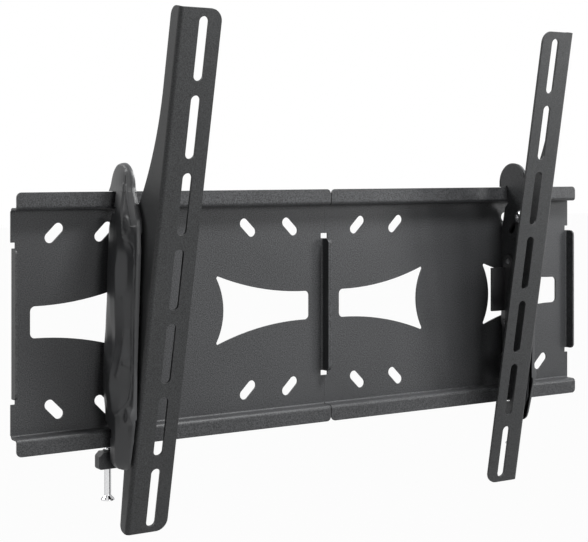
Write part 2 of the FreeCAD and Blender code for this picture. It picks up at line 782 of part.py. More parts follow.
def make_side_plate(side):
    body = new_body("side_plate_" + side)
    rear, notch = -s.plate_rear_reach, rail_front - s.rail_clearance
    rail_under = -(rail_half_height + s.rail_clearance)
    sketch = side_sketch(body, side, "side_outline", side_inner)
    draw_outline(sketch, tongue_corners() + [
        (-s.plate_front_middle_reach, s.plate_front_middle_height),
        (-s.plate_front_lower_reach, s.plate_front_lower_height), (-s.foot_front_reach, foot_bottom),
        (rear, foot_bottom), (rear, rail_under), (notch, rail_under), (notch, -under_shelf),
        (rear, s.notch_slope - under_shelf), (rear, s.shoulder_height),
        (-s.shoulder_reach, under_shelf - s.notch_slope)] + rail_notch_corners())
    pad_out(body, side, sketch, s.side_sheet)
    draw_tilt_slot(body, side, "upper_side_slot", upper_screw, side_outer, s.side_sheet + 1)
    draw_tilt_slot(body, side, "lower_side_slot", lower_screw, side_outer, s.side_sheet + 1)
    holes = side_sketch(body, side, "side_holes", side_outer)
    for spot in cover_screw_spots:
        draw_circle(holes, spot, s.cover_screw_radius + s.screw_clearance)
    for spot in pad_screw_spots:
        draw_circle(holes, spot, s.pad_screw_radius)
    cut_in(body, side, holes, s.side_sheet + 1)
    round_edges(body, axis_x, [(-s.plate_front_upper_reach, s.plate_front_upper_height),
                               (-s.plate_front_lower_reach, s.plate_front_lower_height),
                               (-s.foot_front_reach, foot_bottom)], s.plate_corner, "side_corners_" + side)


# Moulded side cover over the nuts: a lofted hump with thin edges, held by two screws from inside

cover_screw_spots = [(-s.cover_screw_reach, s.cover_screw_upper_height),
                     (-s.cover_screw_reach, s.cover_screw_lower_height)]
pad_screw_spots = [(-s.pad_upper_reach, s.pad_upper_height), (-s.pad_lower_reach, s.pad_lower_height)]
cover_shoulder = tongue_shoulder - s.cover_tongue_drop
cover_top = cover_shoulder + (s.cover_tongue_front - s.cover_tongue_rear) / 2
cover_bottom = foot_bottom - s.cover_foot_lip


def front_reach_at(height):
    # how far the side plate reaches out at a height between its middle and lower corners
    lower = s.plate_front_lower_height
    share = (height - lower) / (s.plate_front_middle_height - lower)
    return s.plate_front_lower_reach + (s.plate_front_middle_reach - s.plate_front_lower_reach) * share


def cover_outline():
    # the cover's front corners, from the tongue down to the foot
    rim = s.cover_rim
    return [(-s.plate_front_upper_reach - rim, s.plate_front_upper_height),
            (-s.plate_front_middle_reach - rim, s.plate_front_middle_height),
            (-s.plate_front_lower_reach - rim, s.plate_front_lower_height),
            (-s.foot_front_reach - rim, cover_bottom)]


def cover_sections():
    # height, thickness at the spine, at the rear edge and at the front edge, reach of the front edge
    past = s.cover_rim * 2
    thin, upper = s.cover_thin_edge, s.plate_front_upper_reach + past
    return [
        (cover_bottom - 1, s.cover_end_thickness, thin, thin, s.foot_front_reach + past),
        (s.cover_foot_height, s.cover_foot_thickness, s.cover_rear_edge, s.cover_front_edge,
         front_reach_at(s.cover_foot_height) + past),
        (s.cover_bulge_height, s.cover_bulge_thickness, s.cover_bulge_edge, s.cover_front_edge,
         front_reach_at(s.cover_bulge_height) + past),
        (s.cover_middle_height, s.cover_middle_thickness, s.cover_rear_edge, s.cover_front_edge,
         front_reach_at(s.cover_middle_height) + past),
        (s.cover_upper_height, s.cover_upper_thickness, thin * 2, s.cover_front_edge, upper),
        (under_shelf, s.cover_rail_thickness, thin, s.cover_front_edge, upper),
        (cover_shoulder, s.cover_shoulder_thickness, thin, thin, upper),
        (cover_top + 1, s.cover_top_thickness, thin, thin, upper)]


def arc_radius(run, rise):
    # of an arc that starts level and has climbed or dropped by rise after run
    return (run * run + rise * rise) / (rise * 2)


def make_cover_hump(body, side):
    # a thick plate in the cover's outline, with all that lies above the lofted hump cut away
    notch = rail_front - s.rail_clearance
    rear = -s.cover_rear_reach
    most = s.cover_bulge_thickness * 2
    outline = side_sketch(body, side, "cover_outline", side_outer)
    draw_outline(outline, [
        (-s.cover_tongue_rear, tongue_seat), (-s.cover_tongue_rear, cover_shoulder, "half", "left"),
        (-s.cover_tongue_front, cover_shoulder)] + cover_outline() + [
        (notch, cover_bottom), (notch, -under_shelf), (rear, s.notch_slope - under_shelf),
        (rear, s.shoulder_height), (-s.shoulder_reach, under_shelf - s.notch_slope), (notch, under_shelf),
        (notch, tongue_seat)])
    pad_out(body, side, outline, most)
    profiles = []
    for number, (height, thick, rear_edge, front_edge, front) in enumerate(cover_sections()):
        sketch = new_sketch(body, "XY_Plane", "cover_section_%s_%d" % (side, number), height)
        wall = as_size(0)
        beyond = side_outer + most + 1
        draw_outline(sketch, flipped([
            (side_outer + rear_edge, wall, arc_radius(s.cover_spine_reach, thick - rear_edge), "right"),
            (side_outer + thick, -s.cover_spine_reach,
             arc_radius(front - s.cover_spine_reach, thick - front_edge), "right"),
            (side_outer + front_edge, -front), (beyond, -front), (beyond, wall)], side))
        profiles.append(sketch)
    loft = body.newObject("PartDesign::SubtractiveLoft", "cover_hump_" + side)
    loft.Profile = profiles[0]
    loft.Sections = profiles[1:]
    doc.recompute()


def make_cover_lip(body, side, name, place, lip_bottom, depth):
    # a lip round the edges of the plates that the cover holds, over the tongue and down the front
    gap, rim = s.cover_seat_gap, s.cover_rim
    lip_front = (-s.plate_front_upper_reach, s.plate_front_upper_height)
    outer = [(-s.cover_tongue_rear, tongue_seat), (-s.cover_tongue_rear, cover_shoulder, "half", "left"),
             (-s.cover_tongue_front, cover_shoulder), (lip_front[0] - rim, lip_front[1])]
    inner = [(lip_front[0] - gap, lip_front[1]),
             (-s.tongue_front_reach - gap, tongue_shoulder, "half", "right"),
             (gap - s.tongue_rear_reach, tongue_shoulder), (gap - s.tongue_rear_reach, tongue_seat)]
    if lip_bottom is not None:
        middle = (-s.plate_front_middle_reach, s.plate_front_middle_height)
        lowest = -front_reach_at(lip_bottom)
        outer += [(middle[0] - rim, middle[1]), (lowest - rim, lip_bottom)]
        inner = [(lowest - gap, lip_bottom), (middle[0] - gap, middle[1])] + inner
    lip = side_sketch(body, side, name, place)
    draw_outline(lip, outer + inner)
    pad_out(body, side, lip, depth)


def make_side_cover(side):
    body = new_body("side_cover_" + side)
    make_cover_hump(body, side)
    notch = rail_front - s.rail_clearance
    front = cover_outline()
    round_edges(body, axis_x, front[:-1], s.cover_corner, "cover_corners_" + side)
    round_edges(body, axis_x, front[-1:], s.cover_foot_corner, "cover_foot_corner_" + side)
    round_edges(body, axis_x, [(notch, cover_bottom)], s.cover_corner, "cover_rear_corner_" + side)

    # hollow for the nuts, with their curved ways and a boss round each cover screw
    hollow = side_sketch(body, side, "cover_hollow", side_outer)
    floor, ceiling = s.cover_front_wall - under_shelf, under_shelf - s.cover_front_wall
    rear = -s.cover_rear_reach - s.cover_rear_wall
    wall = s.cover_front_wall - s.cover_rim
    inset, slope = notch - s.notch_slope, s.notch_slope * 2
    draw_outline(hollow, [
        (inset, ceiling), (wall - s.plate_front_upper_reach, ceiling),
        (wall - s.plate_front_middle_reach, s.plate_front_middle_height),
        (wall - front_reach_at(floor), floor), (inset, floor), (rear, floor + slope),
        (rear, ceiling - slope)])
    cut_out(body, side, hollow, s.cover_hollow_depth)
    nut_room = s.washer_sheet + s.nut_height + s.screw_tail + s.cover_nut_clearance
    for name, spot in (("upper_nut_way", upper_screw), ("lower_nut_way", lower_screw)):
        draw_tilt_slot(body, side, name, spot, side_outer + nut_room, nut_room,
                       (s.washer_radius + s.cover_nut_clearance) * 2)
    bosses = side_sketch(body, side, "cover_bosses", side_outer)
    for spot in cover_screw_spots:
        draw_circle(bosses, spot, s.cover_boss_radius)
    pad_out(body, side, bosses, s.cover_hollow_depth)
    pilots = side_sketch(body, side, "cover_pilots", side_outer)
    for spot in cover_screw_spots:
        draw_circle(pilots, spot, s.cover_screw_radius)
    cut_out(body, side, pilots, s.cover_screw_length - s.side_sheet + s.screw_point)
    make_cover_lip(body, side, "cover_front_lip", side_inner + s.cover_lip_gap, s.cover_lip_bottom,
                   s.side_sheet - s.cover_lip_gap)
    make_cover_lip(body, side, "cover_tongue_lip", hook_inner + s.cover_lip_gap, None,
                   s.hook_sheet + s.side_sheet - s.cover_lip_gap)


def make_cover_screws(side):
    body = new_body("cover_screws_" + side)
    head_end = side_inner - s.cover_screw_head_height
    head = side_sketch(body, side, "cover_screw_heads", head_end)
    shank = side_sketch(body, side, "cover_screw_shanks", side_inner)
    for spot in cover_screw_spots:
        draw_circle(head, spot, s.cover_screw_head_radius)
        draw_circle(shank, spot, s.cover_screw_radius)
    pad_out(body, side, head, s.cover_screw_head_height)
    pad_out(body, side, shank, s.cover_screw_length)


# Rest pad: two lugs on the side plate and a bent leaf that reaches in behind the arm

def make_rest_pad(side):
    body = new_body("rest_pad_" + side)
    upper, lower = pad_screw_spots
    base = side_sketch(body, side, "pad_base", hook_inner)
    draw_outline(base, [
        (lower[0] + s.pad_lower_lug, lower[1]), (upper[0] + s.pad_upper_lug, upper[1], "half", "left"),
        (upper[0] - s.pad_upper_lug, upper[1]), (lower[0] - s.pad_lower_lug, lower[1], "half", "left")])
    pad_out(body, side, base, s.hook_sheet)
    leaf = new_sketch(body, "XY_Plane", "pad_leaf_" + side, s.leaf_bottom)
    tip, tip_reach, outer_radius = hook_inner - s.leaf_width, s.leaf_tip_reach, s.leaf_radius + s.leaf_sheet
    draw_outline(leaf, flipped([
        (hook_inner, -s.leaf_root_reach),
        (hook_inner, s.leaf_sheet - s.leaf_root_reach, s.leaf_radius, "right"),
        (tip, -tip_reach), (tip, -tip_reach - s.leaf_sheet, outer_radius, "left")], side))
    pad(body, leaf, s.leaf_top - s.leaf_bottom)
    shanks = side_sketch(body, side, "pad_screw_holes", side_inner)
    heads = side_sketch(body, side, "pad_screw_seats", hook_inner)
    for spot in pad_screw_spots:
        draw_circle(shanks, spot, s.pad_screw_radius + s.screw_clearance)
        draw_circle(heads, spot, s.pad_screw_head_radius + s.screw_clearance)
    cut_in(body, side, shanks, s.hook_sheet + 1)
    cut_out(body, side, heads, s.pad_screw_head_height)


def make_pad_screws(side):
    body = new_body("pad_screws_" + side)
    heads = side_sketch(body, side, "pad_screw_heads", hook_inner)
    shanks = side_sketch(body, side, "pad_screw_shanks", hook_inner + s.pad_screw_head_height)
    for spot in pad_screw_spots:
        draw_circle(heads, spot, s.pad_screw_head_radius)
        draw_circle(shanks, spot, s.pad_screw_radius)
    pad_out(body, side, heads, s.pad_screw_head_height)
    pad_out(body, side, shanks, s.hook_sheet + s.side_sheet - s.pad_screw_head_height)


# Lock block on the side plate's foot, and the screw that turns up through it behind the bottom rail

lock_place = side_outer + s.lock_screw_out
block_top = -(rail_half_height + s.block_drop)
block_bottom = block_top - s.block_height
lock_screw_tip = -(rail_half_height + s.lock_screw_tip_drop)
lock_screw_bottom = lock_screw_tip - s.lock_screw_length


def make_lock_block(side):
    body = new_body("lock_block_" + side)
    sketch = new_sketch(body, "XY_Plane", "block_outline_" + side, block_bottom)
    near, far = s.block_half_width - s.block_reach, -s.block_half_width - s.block_reach
    block_end = side_outer + s.block_out
    draw_outline(sketch, flipped([
        (side_outer, far), (block_end, far), (block_end, near), (side_outer, near)], side))
    pad(body, sketch, block_top - block_bottom)
    sign = signs[side]
    centre = (lock_place * sign, -s.block_reach)
    neck = new_sketch(body, "XY_Plane", "block_neck_" + side, block_top)
    draw_circle(neck, centre, s.block_neck_radius)
    pad(body, neck, s.block_neck_height)
    bore = new_sketch(body, "XY_Plane", "block_bore_" + side, block_top + s.block_neck_height)
    draw_circle(bore, centre, s.lock_screw_radius + s.lock_screw_clearance)
    pocket(body, bore, s.block_neck_height + s.block_height + 1)
    base = body.Tip
    shoulder = body.newObject("PartDesign::Chamfer", "block_shoulder_" + side)
    shoulder.Base = (base, edges_at(base.Shape, axis_y, [(block_end * sign, block_top)]))
    bind(shoulder, "Size", s.block_edge)
    doc.recompute()
    round_edges(body, axis_y, [(block_end * sign, block_bottom)], s.block_foot, "block_foot_" + side)
    round_edges(body, axis_z, [(block_end * sign, far), (block_end * sign, near)], s.block_corner,
                "block_corners_" + side)


def make_lock_screw(side):
    body = new_body("lock_screw_" + side)
    sketch = new_sketch(body, "XZ_Plane", "lock_screw_" + side)
    point = s.lock_screw_radius - s.screw_point
    rim = lock_screw_bottom + s.lock_head_rim
    draw_outline(sketch, [
        (0, lock_screw_bottom), (s.lock_head_radius, lock_screw_bottom), (s.lock_head_radius, rim),
        (s.lock_screw_radius, lock_screw_bottom + s.lock_head_height),
        (s.lock_screw_radius, lock_screw_tip - s.screw_point), (point, lock_screw_tip),
        (0, lock_screw_tip)])
    revolve(body, sketch, "V_Axis")
    recess = new_sketch(body, "XY_Plane", "lock_recess_" + side, lock_screw_bottom)
    draw_cross(recess, s.recess_reach, s.recess_width)
    pocket(body, recess, s.recess_depth, True)
    seat(body, lock_place * signs[side], -s.block_reach, 0)


for side in ("left", "right"):
    make_panel(side)
    make_arm(side)
    make_tilt_screw(side, "upper_tilt_screw", upper_screw)
    make_tilt_screw(side, "lower_tilt_screw", lower_screw)
    make_ring(side, "upper_friction_washer", upper_screw, s.arm_place, s.running_gap, s.washer_radius)
    make_ring(side, "lower_spacer_washer", lower_screw, s.arm_place, s.running_gap + s.hook_sheet,
              s.washer_radius)
    for level, spot in (("upper", upper_screw), ("lower", lower_screw)):
        make_ring(side, level + "_washer", spot, side_outer, s.washer_sheet, s.washer_radius)
        make_nut(side, level + "_nut", spot)
    make_hook_plate(side)
    make_side_plate(side)
    make_side_cover(side)
    make_cover_screws(side)
    make_rest_pad(side)
    make_pad_screws(side)
    make_lock_block(side)
    make_lock_screw(side)

doc.recompute()
for thing in doc.Objects:
    if "Invalid" in thing.State or "Error" in thing.State:
        raise RuntimeError("%s failed: %s" % (thing.Name, thing.State))
for label, body in pieces.items():
    shape = body.Shape
    if shape.isNull() or not shape.isValid() or not shape.Solids:
        raise RuntimeError("%s has no valid solid" % label)
for label, body in pieces.items():
    body.Shape.exportStep("parts/%s.step" % label)
    print("%-28s %d solid(s) %10.1f mm3" % (label, len(body.Shape.Solids), body.Shape.Volume))
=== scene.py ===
import math

import bpy
import numpy as np
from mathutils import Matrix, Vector


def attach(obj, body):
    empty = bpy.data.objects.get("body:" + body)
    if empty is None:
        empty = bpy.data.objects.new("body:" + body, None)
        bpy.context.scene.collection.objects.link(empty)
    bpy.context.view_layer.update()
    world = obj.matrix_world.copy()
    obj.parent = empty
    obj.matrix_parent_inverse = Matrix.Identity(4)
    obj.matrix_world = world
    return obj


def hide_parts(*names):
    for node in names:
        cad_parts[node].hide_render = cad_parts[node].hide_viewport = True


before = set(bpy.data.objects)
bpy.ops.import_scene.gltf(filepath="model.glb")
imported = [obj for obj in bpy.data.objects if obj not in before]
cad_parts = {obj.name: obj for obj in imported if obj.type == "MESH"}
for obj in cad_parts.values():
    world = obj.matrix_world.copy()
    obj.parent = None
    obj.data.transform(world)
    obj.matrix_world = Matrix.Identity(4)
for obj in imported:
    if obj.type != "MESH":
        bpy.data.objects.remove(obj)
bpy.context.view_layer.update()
sides = ("left", "right")
print("frame loaded,", len(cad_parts), "nodes")


# Selecting and finishing

finish = {
    "weld": 1e-6,            # m
    "flatAngle": 0.5,        # degrees: faces nearer to one plane than this are joined up
    "edgeWidth": 0.00025,    # m, the softened edge of all metal
    "edgeSteps": 2,
    "edgeAngle": 35,         # degrees: sharper edges are softened
    "smoothAngle": 32,       # degrees: flatter edges shade across
}


def deselectAll():
    if bpy.context.object and bpy.context.object.mode != "OBJECT":
        bpy.ops.object.mode_set(mode="OBJECT")
    bpy.ops.object.select_all(action="DESELECT")


def pick(piece):
    deselectAll()
    piece.select_set(True)
    bpy.context.view_layer.objects.active = piece


def copyOfNode(node, name):
    # the node's own mesh, merged and with its flat faces joined up
    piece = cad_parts[node].copy()
    piece.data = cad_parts[node].data.copy()
    piece.name = name
    piece.data.name = name
    piece.parent = None
    for key in [k for k in piece.keys() if k.startswith("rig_")]:
        del piece[key]
    bpy.context.scene.collection.objects.link(piece)
    pick(piece)
    bpy.ops.object.mode_set(mode="EDIT")
    bpy.ops.mesh.select_all(action="SELECT")
    bpy.ops.mesh.remove_doubles(threshold=finish["weld"])
    bpy.ops.mesh.dissolve_limited(angle_limit=math.radians(finish["flatAngle"]))
    bpy.ops.object.mode_set(mode="OBJECT")
    return piece


def levelNormals(piece):
    # the wide faces stay flat and only the rounded edges shade across
    pick(piece)
    level = piece.modifiers.new("level", "WEIGHTED_NORMAL")
    level.keep_sharp = True
    bpy.ops.object.modifier_apply(modifier=level.name)


def softenEdges(piece):
    pick(piece)
    bevel = piece.modifiers.new("edges", "BEVEL")
    bevel.width = finish["edgeWidth"]
    bevel.segments = finish["edgeSteps"]
    bevel.limit_method = "ANGLE"
    bevel.angle_limit = math.radians(finish["edgeAngle"])
    bevel.use_clamp_overlap = False
    bevel.miter_outer = "MITER_ARC"
    bpy.ops.object.modifier_apply(modifier=bevel.name)
    bpy.ops.object.shade_smooth_by_angle(angle=math.radians(finish["smoothAngle"]))
    levelNormals(piece)


def paint(piece, material):
    piece.data.materials.clear()
    piece.data.materials.append(material)


def dress(node, body, material):
    piece = copyOfNode(node, node + "_dressed")
    softenEdges(piece)
    paint(piece, material)
    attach(piece, body)
    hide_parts(node)


# Materials

def newMaterial(name):
    material = bpy.data.materials.new(name)
    material.use_nodes = True
    nodes = material.node_tree.nodes
    return material, nodes, material.node_tree.links, nodes["Principled BSDF"]


def addNode(nodes, kind, **values):
    node = nodes.new(kind)
    for key, value in values.items():
        if key in node.inputs:
            node.inputs[key].default_value = value
        else:
            setattr(node, key, value)
    return node


def setRamp(ramp, start, end, shade, darker, lighter):
    # from a darker to a lighter tone of one shade
    low, high = ramp.color_ramp.elements
    low.position, high.position = start, end
    low.color = (*[c * darker for c in shade], 1)
    high.color = (*[c * lighter for c in shade], 1)


coat = {
    "grain": 1000.0,       # powder grains to a metre
    "grainBump": 0.5,
    "grainDepth": 0.0003,
    "shine": 0.3,
    "cloud": 9.0,          # slow variation over the sheet
    "cloudShare": 0.15,
    "rampLow": 0.38,
    "rampHigh": 0.78,
    "noiseLow": 0.3,       # the noise's usual span
    "noiseHigh": 0.7,
    "roughSpread": 0.07,
}


def powderCoat(name, shade, roughness, speckle):
    material, nodes, links, shader = newMaterial(name)
    shader.inputs["Specular IOR Level"].default_value = coat["shine"]
    place = addNode(nodes, "ShaderNodeTexCoord")
    grain = addNode(nodes, "ShaderNodeTexNoise", Scale=coat["grain"], Detail=2.0, Roughness=0.6)
    links.new(place.outputs["Object"], grain.inputs["Vector"])
    cloud = addNode(nodes, "ShaderNodeTexNoise", Scale=coat["cloud"], Detail=2.0)
    links.new(place.outputs["Object"], cloud.inputs["Vector"])
    both = addNode(nodes, "ShaderNodeMath", operation="MULTIPLY_ADD")
    links.new(cloud.outputs["Fac"], both.inputs[0])
    both.inputs[1].default_value = coat["cloudShare"]
    links.new(grain.outputs["Fac"], both.inputs[2])
    ramp = addNode(nodes, "ShaderNodeValToRGB")
    setRamp(ramp, coat["rampLow"], coat["rampHigh"], shade, 1 - speckle, 1 + speckle)
    links.new(both.outputs[0], ramp.inputs["Fac"])
    links.new(ramp.outputs["Color"], shader.inputs["Base Color"])
    rough = addNode(nodes, "ShaderNodeMapRange")
    rough.inputs["From Min"].default_value = coat["noiseLow"]
    rough.inputs["From Max"].default_value = coat["noiseHigh"]
    rough.inputs["To Min"].default_value = roughness - coat["roughSpread"]
    rough.inputs["To Max"].default_value = roughness + coat["roughSpread"]
    links.new(grain.outputs["Fac"], rough.inputs["Value"])
    links.new(rough.outputs["Result"], shader.inputs["Roughness"])
    bump = addNode(nodes, "ShaderNodeBump", Strength=coat["grainBump"], Distance=coat["grainDepth"])
    links.new(grain.outputs["Fac"], bump.inputs["Height"])
    links.new(bump.outputs["Normal"], shader.inputs["Normal"])
    return material


plastic = {
    "skin": 2600.0,          # fine marks to a metre
    "slow": 14.0,            # slow variation over the moulding
    "rampLow": 0.35,
    "rampHigh": 0.7,
    "vary": 0.15,            # how far the shade varies
    "smoother": 0.05,
    "rougher": 0.08,
    "bump": 0.2,
    "bumpDepth": 0.00006,
}


def mouldedPlastic(name, shade, roughness, shine):
    material, nodes, links, shader = newMaterial(name)
    shader.inputs["Specular IOR Level"].default_value = shine
    place = addNode(nodes, "ShaderNodeTexCoord")
    skin = addNode(nodes, "ShaderNodeTexNoise", Scale=plastic["skin"], Detail=2.0)
    links.new(place.outputs["Object"], skin.inputs["Vector"])
    slow = addNode(nodes, "ShaderNodeTexNoise", Scale=plastic["slow"], Detail=2.0)
    links.new(place.outputs["Object"], slow.inputs["Vector"])
    ramp = addNode(nodes, "ShaderNodeValToRGB")
    setRamp(ramp, plastic["rampLow"], plastic["rampHigh"], shade, 1 - plastic["vary"], 1 + plastic["vary"])
    links.new(slow.outputs["Fac"], ramp.inputs["Fac"])
    links.new(ramp.outputs["Color"], shader.inputs["Base Color"])
    rough = addNode(nodes, "ShaderNodeMapRange")
    rough.inputs["To Min"].default_value = roughness - plastic["smoother"]
    rough.inputs["To Max"].default_value = roughness + plastic["rougher"]
    links.new(skin.outputs["Fac"], rough.inputs["Value"])
    links.new(rough.outputs["Result"], shader.inputs["Roughness"])
    bump = addNode(nodes, "ShaderNodeBump", Strength=plastic["bump"], Distance=plastic["bumpDepth"])
    links.new(skin.outputs["Fac"], bump.inputs["Height"])
    links.new(bump.outputs["Normal"], shader.inputs["Normal"])
    return material


zinc = {
    "wear": 700.0,           # dull spots to a metre
    "rampLow": 0.3,
    "rampHigh": 0.7,
    "dull": 0.82,            # how dark the dullest spots are beside the shade
    "smoother": 0.08,
    "rougher": 0.12,
    "paintedEdgeShade": (0.05, 0.05, 0.06, 1),    # painted shade: the reflection turns near black where the metal turns away, standing in for dark surroundings
}


def zincPlate(name, shade, roughness):
    material, nodes, links, shader = newMaterial(name)
    shader.inputs["Metallic"].default_value = 1.0
    # painted shade: a near-black edge tint darkens the metal's reflection at grazing angles, so a round
    # shank shows dark edges
    shader.inputs["Specular Tint"].default_value = zinc["paintedEdgeShade"]
    place = addNode(nodes, "ShaderNodeTexCoord")
    wear = addNode(nodes, "ShaderNodeTexNoise", Scale=zinc["wear"], Detail=4.0)
    links.new(place.outputs["Object"], wear.inputs["Vector"])
    ramp = addNode(nodes, "ShaderNodeValToRGB")
    setRamp(ramp, zinc["rampLow"], zinc["rampHigh"], shade, zinc["dull"], 1)
    links.new(wear.outputs["Fac"], ramp.inputs["Fac"])
    links.new(ramp.outputs["Color"], shader.inputs["Base Color"])
    rough = addNode(nodes, "ShaderNodeMapRange")
    rough.inputs["To Min"].default_value = roughness - zinc["smoother"]
    rough.inputs["To Max"].default_value = roughness + zinc["rougher"]
    links.new(wear.outputs["Fac"], rough.inputs["Value"])
    links.new(rough.outputs["Result"], shader.inputs["Roughness"])
    return material


# the shade, the roughness and how far the grains vary in shade
panelCoat = powderCoat("panelCoat", (0.04, 0.041, 0.043), 0.46, 0.8)
armCoat = powderCoat("armCoat", (0.03, 0.031, 0.032), 0.46, 0.6)
plateCoat = powderCoat("plateCoat", (0.036, 0.037, 0.039), 0.46, 0.6)
# the shade, the roughness and the shine
coverPlastic = mouldedPlastic("coverPlastic", (0.026, 0.027, 0.029), 0.45, 0.58)
padPlastic = mouldedPlastic("padPlastic", (0.042, 0.042, 0.044), 0.4, 0.4)
brightZinc = zincPlate("brightZinc", (0.8, 0.8, 0.81), 0.14)
greyZinc = zincPlate("greyZinc", (0.42, 0.43, 0.45), 0.32)
print("materials made")


# Moulded side cover: a sheet laid over reach and rise, then thickened inwards

cover = {
    # mm, as reach from the wall, rise over the side plate and height
    "plateFace": 230.4,      # from the middle to the side plate's outer face
    "wall": 1.2,
    "topRear": 1.5,          # the tongue's rear and front edges, as reaches from the wall
    "topFront": 43.9,
    "shoulderHeight": 117.9,
    "seatHeight": 113.6,     # the tongue's underside, on the rail
    "bottom": -131.5,
    "footRound": 9.0,
    "footShare": 0.35,       # what is left of the rise at the foot's lower edge
    "lip": 1.4,              # how far the front wall laps over the side plate's edge
    "lipBottom": -85,        # the front wall laps over only above this height
    "tongueLip": 3.4,        # how far the tongue's rim reaches back past the plate's outer face
    "crown": 2.4,            # how deep the tongue's top rolls over
    "topSpan": 3,            # over the tongue's last part the rows stand closer together
    "topRows": 12,
    "domeSpan": 12,          # from the seat up to the full dome of the tongue's rim
    "edgeSoft": 0.7,         # the rounding of the rim, low on the cover
    "edgeShare": 0.35,       # where the rounding's middle point lies
    "narrowest": 0.01,
    "domeSoft": 1.6,         # what the dome adds to the rounding, over the face and down the wall
    "domeEdge": 2.2,
    "knotMargin": 1,         # the least reach between a knot and the edges
    "knotEase": (-0.8, -0.4, 0, 0.4, 0.8),
    "roomSlope": 1.1,        # how fast the room for a nut or screw falls away beside it
    "roomEase": 0.8,
    "columns": 62,
    "rowStep": 1.0,
    "seatStep": 0.02,        # the rows just under and over the seat
    "smoothAngle": 50,       # degrees
}
coverRear = [
    # height, reach of the rear edge
    (-131.5, 22), (-129.5, 19.6), (-126, 18.5), (-96.6, 18.5), (-96.4, 17), (-88, 3.2), (70, 3.2),
    (88, 8.5), (96.4, 18.5), (96.6, 18.5), (113.5, 18.5),
]
coverFront = [
    # height, reach of the front edge
    (-131.5, 34), (-130.4, 37.2), (-127.8, 40), (-123, 41.8), (-106, 46.3), (-90, 50.2), (-70, 50.6),
    (-40, 51.4), (60, 58.5), (85, 58), (89.5, 57.2), (117.9, 43.9),
]
coverForm = [
    # height, rise at the rear edge, (reach, rise) over the hump to the front strip, rise at the front edge
    (139.1, 0.6, (10, 1), (16, 1.1), (22, 1.2), (26, 1.2), (30, 1.1), (33, 1), (36, 0.9), 0.6),
    (131, 0.7, (10, 1.5), (16, 2.1), (22, 2.5), (28, 2.6), (32, 2.4), (34, 2.2), (38, 1.9), 0.7),
    (119.6, 0.9, (11, 2.3), (17, 3), (25, 3.5), (30, 3.4), (33.5, 3), (35.4, 2), (39, 2.5), 0.9),
    (107.5, 4.6, (20, 5.2), (22, 5.6), (27, 6.2), (31, 6.2), (35.5, 5.4), (37.6, 3.9), (43.5, 4.3), 1.2),
    (95.4, 1.8, (13, 6), (18, 7.4), (26, 8.2), (31, 8.4), (37.5, 8), (39.8, 6.5), (49.5, 4.9), 2.2),
    (86, 2, (10, 5.8), (15, 7.6), (24, 8.3), (31, 8.5), (40, 7.8), (42.2, 6.7), (54, 4.6), 2.6),
    (80.5, 2.2, (9, 6.2), (15, 8), (24, 8.5), (31, 8.6), (41, 7.8), (43, 6.5), (54, 4), 2.6),
    (78.5, 2.2, (9, 6.2), (15, 8), (24, 8.5), (31, 8.6), (41.3, 7.7), (43.3, 5.4), (54, 2.6), 2.4),
    (71, 2.4, (9, 6.4), (15, 8.2), (24, 8.7), (31, 8.7), (41.8, 7.2), (45, 4.2), (54, 2.2), 2.4),
    (66, 2.4, (9, 6.6), (15, 8.4), (24, 9.2), (31, 8.9), (42, 6.6), (49, 3.4), (54, 2.4), 2.4),
    (58, 2.4, (9, 6.9), (15, 9.2), (24, 10.8), (33.5, 10), (41.8, 3.6), (52, 1.7), (53.8, 3), 2.8),
    (46, 2.4, (9, 7.6), (15, 9.9), (24, 11.6), (33, 11.4), (41.4, 3.2), (52, 1.3), (53.6, 3), 2.8),
    (33, 2.5, (9, 7.8), (15, 10.2), (24, 12.1), (34, 12), (42, 4.4), (51.4, 1.3), (53, 3), 2.8),
    (20, 2.6, (9, 8), (15, 10.3), (24, 12.2), (34.5, 12.2), (43, 7.4), (50.5, 2.2), (52.4, 2.9), 2.7),
    (4, 3.2, (9, 9), (15, 10.8), (24, 11.6), (33, 11.4), (43, 7.6), (48, 4.4), (51.2, 2.7), 2.6),
    (-10, 4.2, (9, 9.6), (15, 10.8), (24, 10), (32, 10.4), (43, 7.2), (47, 3.6), (50.2, 2.5), 2.4),
    (-22, 5.2, (9, 10.8), (15, 10.4), (22, 8.8), (31, 10.4), (41.8, 7), (46.2, 1.4), (49.2, 2.3), 2.2),
    (-33, 5.8, (9, 11.5), (14, 11.2), (20, 8.8), (29, 11.8), (42.7, 7.4), (45.8, 1), (48.2, 2.1), 2),
    (-45, 6.2, (9, 11.9), (15, 12.8), (20, 13.6), (27, 13.8), (39.2, 6.4), (44.9, 0.9), (47.2, 2), 1.9),
    (-58, 6, (9, 11.6), (15, 13), (21, 14.6), (27, 14.4), (37.8, 5.8), (44.6, 1), (46.4, 2), 1.9),
    (-69, 5.4, (9, 11), (15, 12.6), (22, 14.2), (30, 14), (38.6, 9.4), (43.4, 4.6), (45.8, 3), 2.2),
    (-79.5, 4.4, (9, 9.8), (15, 11.6), (22, 13), (31, 13.6), (39.5, 10.6), (43.8, 7.4), (46.2, 4.8), 2.8),
    (-82.5, 4, (9, 9.8), (15, 10.8), (22, 11.2), (33.5, 11.8), (39.5, 9), (43.4, 6.4), (45.6, 4.4), 2.8),
    (-84, 3.6, (9, 9.8), (15, 10.8), (22, 11.2), (33.5, 11.6), (39.5, 9), (43.4, 6.4), (45.6, 4.4), 2.8),
    (-96, 6, (10, 9.9), (17, 10.4), (24, 11.1), (33.5, 11.6), (38.5, 8.6), (42, 6), (44.5, 4), 2.6),
    (-112, 9.4, (20, 10.3), (22, 10.6), (26, 11.1), (33, 11.5), (36.5, 8.8), (39.5, 6.2), (42, 4), 2.4),
    (-123, 9.2, (20, 10), (22, 10.2), (25, 10.5), (31.5, 10.8), (34, 8.6), (36.5, 6.2), (39, 4), 2.2),
    (-131.5, 7.6, (23, 7.8), (25, 8), (26, 8.2), (29, 8.4), (30.5, 7.2), (32, 5.6), (33, 4.2), 1.8),
]
